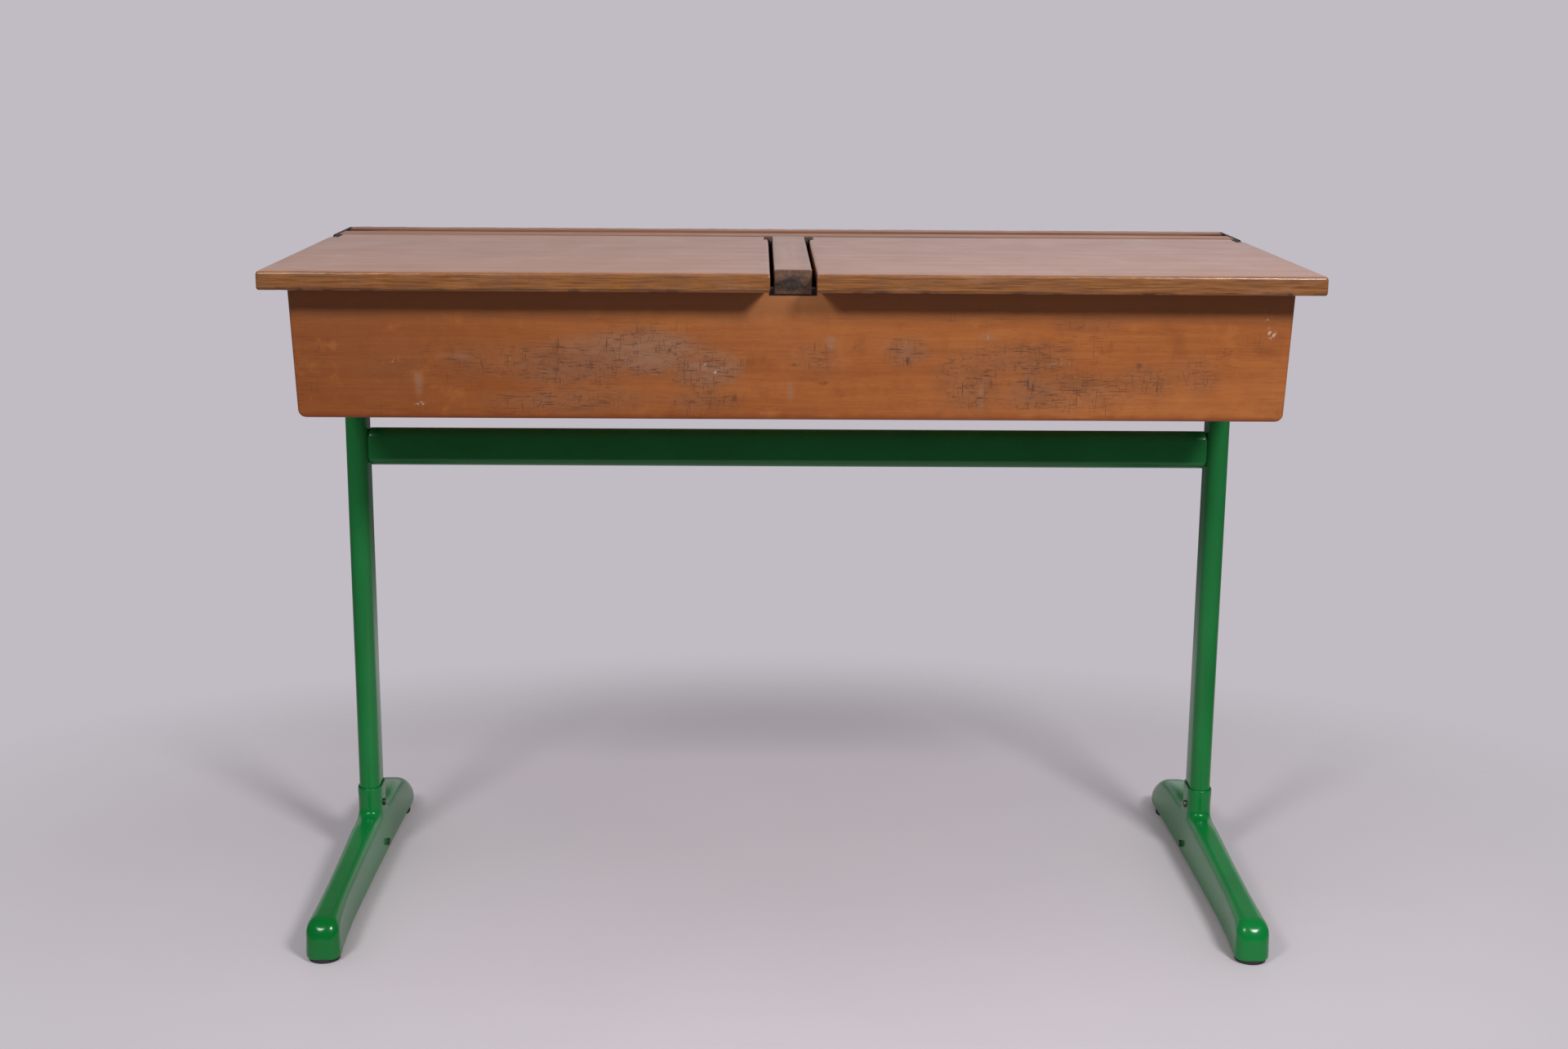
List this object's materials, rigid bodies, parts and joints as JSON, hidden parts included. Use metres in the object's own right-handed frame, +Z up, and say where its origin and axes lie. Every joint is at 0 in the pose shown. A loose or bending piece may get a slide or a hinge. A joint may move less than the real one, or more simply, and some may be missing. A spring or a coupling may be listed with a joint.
{
  "type": "double school desk",
  "caption": "Double school desk: side-by-side lift-up lids over book compartments, a rear rail with a pen groove, and a green tube frame on cast feet.",
  "frame": {"origin": "on the floor, under the centre of the desk's bounding box", "axes": "+X to the pupils' right along the desk, +Y away from the pupils towards the pen groove, +Z up"},
  "size_m": [1.067, 0.5512, 0.72],
  "materials": {
    "top_wood": "worn varnish, pale, rubbed dull",
    "rail_wood": "worn varnish, darker in the groove",
    "panel_wood": "orange-brown varnish, scratched",
    "inner_wood": "bare, dull",
    "green_enamel": "gloss enamel",
    "dark_steel": "dark, oiled",
    "screw_steel": "dull zinc",
    "black_rubber": "matt"
  },
  "bodies": {
    "desk": {"centre_bar": "top_wood", "rear_rail": "rail_wood", "front_panel": "panel_wood", "back_panel": "panel_wood", "end_panel_left": "panel_wood", "end_panel_right": "panel_wood", "centre_partition": "inner_wood", "floor_board": "inner_wood", "top_dowels": "inner_wood", "rail_leaf_left": "dark_steel", "bar_leaf_left": "dark_steel", "hinge_pins_left": "screw_steel", "rail_leaf_right": "dark_steel", "bar_leaf_right": "dark_steel", "hinge_pins_right": "screw_steel", "fixed_leaf_screws": "screw_steel", "leg_left": "green_enamel", "bearer_left": "green_enamel", "foot_left": "green_enamel", "leg_right": "green_enamel", "bearer_right": "green_enamel", "foot_right": "green_enamel", "cross_rail": "green_enamel", "bearer_screws": "screw_steel", "socket_screws": "dark_steel", "base_screws": "green_enamel", "glide_front_left": "black_rubber", "glide_rear_left": "black_rubber", "glide_front_right": "black_rubber", "glide_rear_right": "black_rubber"},
    "lid_left": {"lid_left": "top_wood", "lid_leaf_outer_left": "dark_steel", "lid_leaf_inner_left": "dark_steel", "lid_leaf_screws_left": "screw_steel"},
    "lid_right": {"lid_right": "top_wood", "lid_leaf_outer_right": "dark_steel", "lid_leaf_inner_right": "dark_steel", "lid_leaf_screws_right": "screw_steel"}
  },
  "joints": [
    {"name": "lid_left_hinge", "type": "hinge", "parent": "desk", "child": "lid_left", "pos_m": [0, 0.1684, 0.712], "axis": [-1, 0, 0], "range_deg": [0, 95]},
    {"name": "lid_right_hinge", "type": "hinge", "parent": "desk", "child": "lid_right", "pos_m": [0, 0.1684, 0.712], "axis": [-1, 0, 0], "range_deg": [0, 95]}
  ]
}
